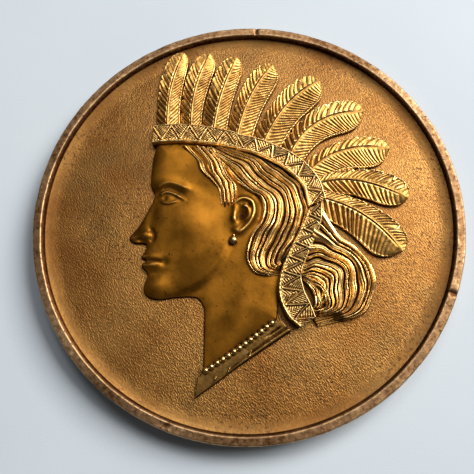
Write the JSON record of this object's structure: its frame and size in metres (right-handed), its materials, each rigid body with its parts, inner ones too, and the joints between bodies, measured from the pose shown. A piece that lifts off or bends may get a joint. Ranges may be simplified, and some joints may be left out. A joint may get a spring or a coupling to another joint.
{
  "type": "challenge coin",
  "caption": "Round bronze coin with a raised rim and a relief head in profile wearing a feather headdress, bands, an ear stud and beads.",
  "frame": {"origin": "centre of the flat back face, at the coin's lowest level", "axes": "+Z out of the portrait face, +Y towards the top of the portrait, +X to its right"},
  "size_m": [0.0888, 0.0888, 0.0065],
  "materials": {
    "planchet": "matte stippled bronze, brown patina, worn edges",
    "rim": "matte stippled bronze, brown patina, worn edges",
    "head": "cast bronze with brown patina in the hollows, worn bright on the crests",
    "ear_stud": "cast bronze with brown patina in the hollows, worn bright on the crests",
    "front_hair": "cast bronze with brown patina in the hollows, worn bright on the crests",
    "back_hair": "cast bronze with brown patina in the hollows, worn bright on the crests",
    "brow_band_front": "cast bronze with brown patina in the hollows, worn bright on the crests",
    "brow_band_rear": "cast bronze with brown patina in the hollows, worn bright on the crests",
    "side_band": "cast bronze with brown patina in the hollows, worn bright on the crests",
    "feather_1": "cast bronze with brown patina in the hollows, worn bright on the crests",
    "feather_2": "cast bronze with brown patina in the hollows, worn bright on the crests",
    "feather_3": "cast bronze with brown patina in the hollows, worn bright on the crests",
    "feather_4": "cast bronze with brown patina in the hollows, worn bright on the crests",
    "feather_5": "cast bronze with brown patina in the hollows, worn bright on the crests",
    "feather_6": "cast bronze with brown patina in the hollows, worn bright on the crests",
    "feather_7": "cast bronze with brown patina in the hollows, worn bright on the crests",
    "feather_8": "cast bronze with brown patina in the hollows, worn bright on the crests",
    "feather_9": "cast bronze with brown patina in the hollows, worn bright on the crests",
    "necklace": "cast bronze with brown patina in the hollows, worn bright on the crests",
    "collar": "cast bronze with brown patina in the hollows, worn bright on the crests"
  },
  "bodies": {
    "root": {"planchet": "planchet", "rim": "rim", "head": "head", "ear_stud": "ear_stud", "front_hair": "front_hair", "back_hair": "back_hair", "brow_band_front": "brow_band_front", "brow_band_rear": "brow_band_rear", "side_band": "side_band", "feather_1": "feather_1", "feather_2": "feather_2", "feather_3": "feather_3", "feather_4": "feather_4", "feather_5": "feather_5", "feather_6": "feather_6", "feather_7": "feather_7", "feather_8": "feather_8", "feather_9": "feather_9", "necklace": "necklace", "collar": "collar"}
  },
  "joints": []
}
